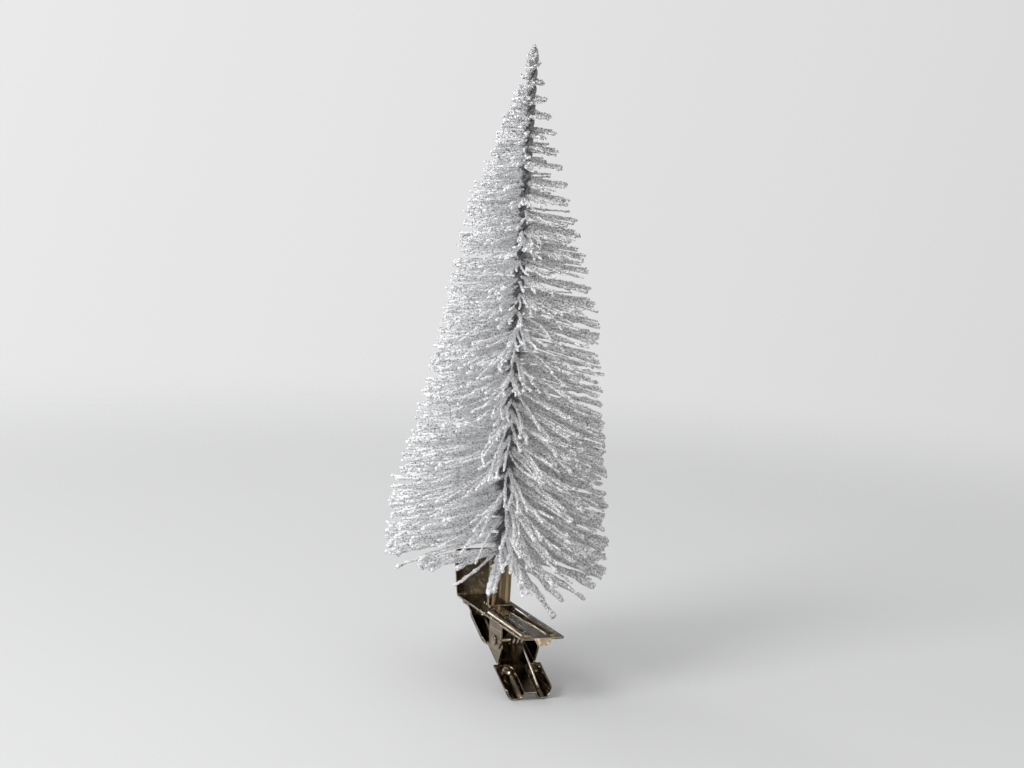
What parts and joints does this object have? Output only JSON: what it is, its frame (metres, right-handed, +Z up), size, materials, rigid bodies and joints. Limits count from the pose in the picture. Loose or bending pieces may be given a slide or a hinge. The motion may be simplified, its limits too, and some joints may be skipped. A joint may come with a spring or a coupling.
{
  "type": "clip-on bottle-brush tree ornament",
  "caption": "Cone-shaped bottle-brush tree on a twisted wire stem, held in a rolled socket on a spring clip that grips a twig.",
  "frame": {"origin": "axis of the 6 mm twig that just fills the closed clip's jaws", "axes": "+Z up along the stem, +X along the pivot pin and the gripped twig, -Y towards the handles"},
  "size_m": [0.0622, 0.064, 0.1806],
  "materials": {
    "plated_sheet": "bright warm nickel plate",
    "plated_pin": "bright plate",
    "spring_wire": "drawn wire",
    "stem_wire": "silver glitter coat",
    "glitter_bristle": "silver glitter coat"
  },
  "bodies": {
    "ornament": {"upper_arm": "plated_sheet", "pivot_pin": "plated_pin", "torsion_spring": "spring_wire", "stem_socket": "plated_sheet", "stem_wire_a": "stem_wire", "stem_wire_b": "stem_wire", "bristles_skirt": "glitter_bristle", "bristles_lower": "glitter_bristle", "bristles_middle": "glitter_bristle", "bristles_upper": "glitter_bristle", "bristles_top": "glitter_bristle", "bristles_tip": "glitter_bristle"},
    "jaw": {"lower_arm": "plated_sheet"}
  },
  "joints": [
    {"name": "jaw_pivot", "type": "hinge", "parent": "ornament", "child": "jaw", "pos_m": [0, -0.00866, -0.002], "axis": [-1, 0, 0], "range_deg": [0, 50], "stiffness_Nm_per_rad": 0.03, "springref_deg": -57.3, "deforming": ["torsion_spring"]}
  ]
}
